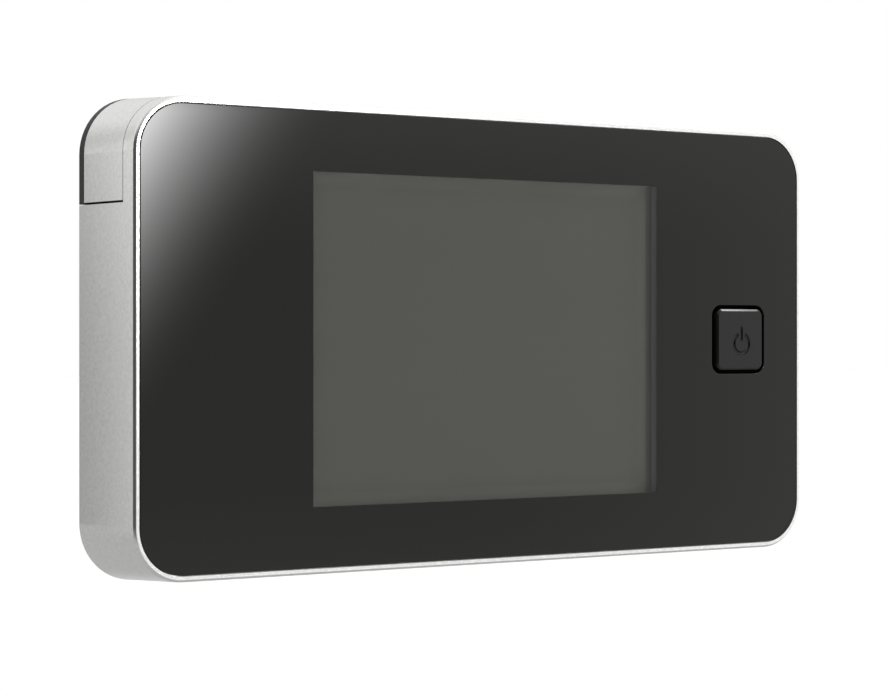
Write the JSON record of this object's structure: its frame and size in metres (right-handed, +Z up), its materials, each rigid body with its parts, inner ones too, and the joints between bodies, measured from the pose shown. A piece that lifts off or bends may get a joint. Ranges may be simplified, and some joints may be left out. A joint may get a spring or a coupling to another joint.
{
  "type": "peephole door camera",
  "caption": "Indoor screen unit that hangs on a steel door bracket, with a power button and a sliding battery cover, and a door camera whose barrel is clamped through the door",
  "frame": {"origin": "on the axis of the camera barrel, at the indoor face of the door", "axes": "+X to the right of a person indoors facing the door, +Y out through the door, +Z up"},
  "size_m": [0.127, 0.0679, 0.0694],
  "materials": {
    "black_button": "satin black plastic",
    "black_foam": "soft open foam",
    "black_print": "flat black print",
    "black_shell": "fine spark texture",
    "bracket_steel": "black powder coat",
    "bright_steel": "thin pressed steel",
    "camera_metal": "satin nickel finish on die-cast metal",
    "capacitor_can": "bare can",
    "cell_jacket": "plain printed jacket over steel",
    "chip_black": "moulded epoxy",
    "circuit_board": "green solder mask",
    "contact_steel": "nickel-plated spring steel",
    "filter_glass": "coated filter glass",
    "flex_film": "amber polyimide film",
    "foam_tape": "thin foam tape",
    "front_glass": "polished clear panel, black behind except at the screen",
    "gasket_rubber": "soft weather seal",
    "lens_black": "non-reflecting black",
    "lens_glass": "coated optical glass",
    "light_guide": "milky white light guide",
    "pad_rubber": "soft rubber",
    "screen_glass": "grey polarised screen",
    "screw_steel": "zinc-plated steel",
    "sensor_glass": "dark sensor with a glass cover",
    "silver_shell": "satin silver paint with a fine metallic grain",
    "socket_plastic": "ivory nylon",
    "switch_body": "pressed cover over a plastic base",
    "switch_plunger": "moulded plastic",
    "window_glass": "clear cover glass"
  },
  "bodies": {
    "door_bracket": {"wall_bracket": "bracket_steel", "clamp_screws": "screw_steel"},
    "monitor": {"front_frame": "silver_shell", "front_lens": "front_glass", "lens_mask": "black_print", "lens_tape": "foam_tape", "lcd_tape": "foam_tape", "lcd_gasket": "black_foam", "lcd_panel": "screen_glass", "lcd_backlight": "light_guide", "lcd_can": "bright_steel", "lcd_flex": "flex_film", "main_board": "circuit_board", "processor_chip": "chip_black", "memory_chip": "chip_black", "power_inductor": "chip_black", "capacitors": "capacitor_can", "camera_socket": "socket_plastic", "lcd_socket": "socket_plastic", "board_screws": "screw_steel", "tray_screws": "screw_steel", "case_screws": "screw_steel", "tact_switch": "switch_body", "battery_tray": "black_shell", "rear_cover": "black_shell", "battery_cell_left": "cell_jacket", "battery_cell_right": "cell_jacket", "negative_contact": "contact_steel", "positive_contact": "contact_steel", "negative_spring": "contact_steel", "rear_pads": "pad_rubber"},
    "battery_lid": {"battery_cover": "silver_shell"},
    "power_button": {"button_cap": "black_button", "switch_plunger": "switch_plunger"},
    "camera": {"camera_housing": "camera_metal", "door_gasket": "gasket_rubber", "sensor_board": "circuit_board", "sensor_screws": "screw_steel", "sensor_socket": "socket_plastic", "image_sensor": "sensor_glass", "lens_holder": "lens_black", "infrared_filter": "filter_glass", "lens_barrel": "lens_black", "lens_rear_element": "lens_glass", "lens_front_element": "lens_glass", "camera_bezel": "camera_metal", "window_seal": "gasket_rubber", "camera_window": "window_glass"}
  },
  "joints": [
    {"name": "monitor_lift", "type": "slide", "parent": "door_bracket", "child": "monitor", "axis": [0, 0, 1], "range_m": [0, 0.004]},
    {"name": "battery_lid_slide", "type": "slide", "parent": "monitor", "child": "battery_lid", "axis": [0, 0, 1], "range_m": [0, 0.02]},
    {"name": "button_press", "type": "slide", "parent": "monitor", "child": "power_button", "axis": [0, 1, 0], "range_m": [0, 0.0005], "stiffness_N_per_m": 3000},
    {"name": "camera_slide", "type": "slide", "parent": "door_bracket", "child": "camera", "axis": [0, 1, 0], "range_m": [0, 0.03]}
  ]
}
